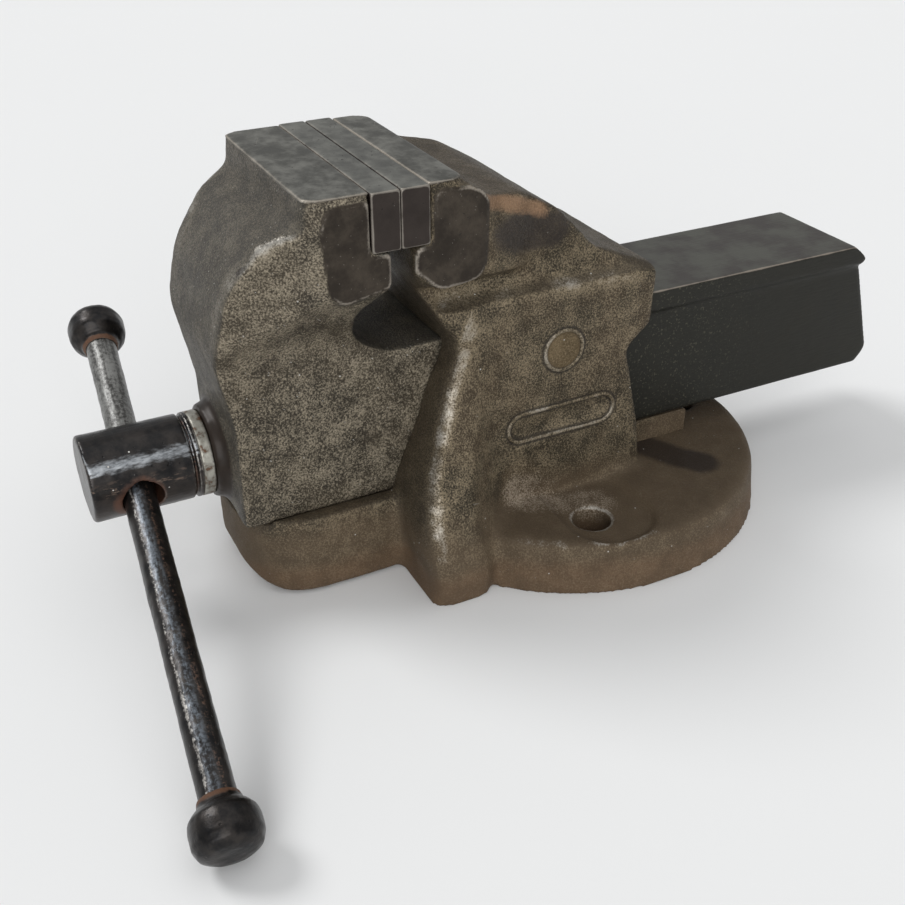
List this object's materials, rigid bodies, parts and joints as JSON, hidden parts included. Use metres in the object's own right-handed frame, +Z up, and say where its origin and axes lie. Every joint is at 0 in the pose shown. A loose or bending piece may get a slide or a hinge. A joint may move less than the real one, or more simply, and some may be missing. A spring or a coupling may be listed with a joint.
{
  "type": "bench vise",
  "caption": "Cast iron bench vise with parallel jaws, a round bolt-down base, a screw-driven sliding jaw and a sliding tommy bar with round end knobs.",
  "frame": {"origin": "centre of the round base, on its underside", "axes": "+Z up; the jaws are wide along X; the screw head faces -Y and the slide runs back to +Y"},
  "size_m": [0.3392, 0.522, 0.232],
  "materials": {
    "body_iron": "worn sand-cast skin, dark brown",
    "jaw_iron": "worn sand-cast skin, grey brown",
    "jaw_plate_steel": "satin, scratched and patinated",
    "screw_steel": "oil-blackened forged steel, glossy",
    "washer_steel": "bright, with rust at the edge",
    "bar_steel": "blackened, worn bright in streaks",
    "fastener_steel": "dull steel",
    "nut_iron": "machined, oily",
    "spring_steel": "drawn wire, oily"
  },
  "bodies": {
    "base": {"static_body": "body_iron", "rear_jaw_plate": "jaw_plate_steel", "rear_plate_screws": "fastener_steel", "main_nut": "nut_iron", "nut_bolts": "fastener_steel", "nut_bolt_washers": "fastener_steel", "nut_dowels": "fastener_steel", "slide_keeper": "body_iron", "keeper_screws": "fastener_steel"},
    "front_jaw": {"sliding_jaw": "jaw_iron", "front_jaw_plate": "jaw_plate_steel", "front_plate_screws": "fastener_steel"},
    "screw": {"main_screw": "screw_steel", "thrust_washer": "washer_steel", "spring_seat_washer": "washer_steel", "take_up_spring": "spring_steel", "retaining_collar": "screw_steel", "collar_pin": "fastener_steel"},
    "handle": {"tommy_bar": "bar_steel", "lower_knob": "bar_steel", "upper_knob": "bar_steel"}
  },
  "joints": [
    {"name": "jaw_slide", "type": "slide", "parent": "base", "child": "front_jaw", "axis": [0, -1, 0], "range_m": [0, 0.1651]},
    {"name": "screw_turn", "type": "hinge", "parent": "front_jaw", "child": "screw", "pos_m": [0, -0.2655, 0.0803], "axis": [0, -1, 0], "range_deg": [0, 9900]},
    {"name": "handle_slide", "type": "slide", "parent": "screw", "child": "handle", "axis": [0.951, -0.0819, -0.298], "range_m": [-0.169, 0.068]}
  ],
  "couplings": [
    {"joint": "jaw_slide", "follows": "screw_turn", "m_per_rad": 0.00095493}
  ]
}
